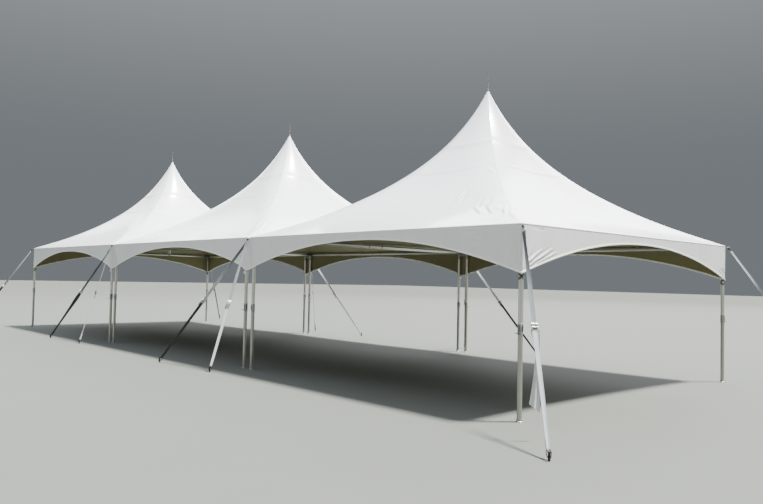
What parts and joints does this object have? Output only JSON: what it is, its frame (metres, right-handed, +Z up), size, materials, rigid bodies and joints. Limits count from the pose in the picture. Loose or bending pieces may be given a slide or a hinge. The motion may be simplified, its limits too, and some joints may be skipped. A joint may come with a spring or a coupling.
{
  "type": "marquee tent",
  "caption": "Row of high-peaked frame tents: white membrane roofs with arched valances on round legs and eave beams, king poles on crossed cables, and guy straps to ground stakes.",
  "frame": {"origin": "on the ground at the centre of the plan", "axes": "+X along the row of bays, -Y towards the front, +Z up"},
  "size_m": [21.262, 8.74, 5.53],
  "materials": {
    "white_membrane": "white coated membrane with a soft gloss",
    "aluminium_tube": "mill-finish tube, slightly dulled",
    "cast_head": "cast, matt",
    "galvanised_steel": "zinc-coated steel",
    "grey_webbing": "woven polyester webbing, matt"
  },
  "bodies": {
    "root": {"canopy_left_bay": "white_membrane", "canopy_middle_bay": "white_membrane", "canopy_right_bay": "white_membrane", "leg_left_bay_front_left": "aluminium_tube", "leg_left_bay_front_right": "aluminium_tube", "leg_left_bay_back_left": "aluminium_tube", "leg_left_bay_back_right": "aluminium_tube", "leg_middle_bay_front_left": "aluminium_tube", "leg_middle_bay_front_right": "aluminium_tube", "leg_middle_bay_back_left": "aluminium_tube", "leg_middle_bay_back_right": "aluminium_tube", "leg_right_bay_front_left": "aluminium_tube", "leg_right_bay_front_right": "aluminium_tube", "leg_right_bay_back_left": "aluminium_tube", "leg_right_bay_back_right": "aluminium_tube", "corner_fitting_front_left": "cast_head", "corner_fitting_front_right": "cast_head", "corner_fitting_back_left": "cast_head", "corner_fitting_back_right": "cast_head", "junction_fitting_front_left": "cast_head", "junction_fitting_front_right": "cast_head", "junction_fitting_back_left": "cast_head", "junction_fitting_back_right": "cast_head", "eave_beam_left_bay_front": "aluminium_tube", "eave_beam_left_bay_back": "aluminium_tube", "eave_beam_middle_bay_front": "aluminium_tube", "eave_beam_middle_bay_back": "aluminium_tube", "eave_beam_right_bay_front": "aluminium_tube", "eave_beam_right_bay_back": "aluminium_tube", "eave_beam_left_end": "aluminium_tube", "eave_beam_right_end": "aluminium_tube", "valley_beams_left": "aluminium_tube", "valley_beams_right": "aluminium_tube", "king_pole_left_bay": "aluminium_tube", "king_pole_middle_bay": "aluminium_tube", "king_pole_right_bay": "aluminium_tube", "cable_cross_left_bay": "galvanised_steel", "cable_cross_middle_bay": "galvanised_steel", "cable_cross_right_bay": "galvanised_steel", "corner_guy_front_left": "grey_webbing", "corner_guy_front_right": "grey_webbing", "corner_guy_back_left": "grey_webbing", "corner_guy_back_right": "grey_webbing", "junction_guys_front_left": "grey_webbing", "junction_guys_front_right": "grey_webbing", "junction_guys_back_left": "grey_webbing", "junction_guys_back_right": "grey_webbing", "guy_tail_front_right": "grey_webbing"}
  },
  "joints": []
}
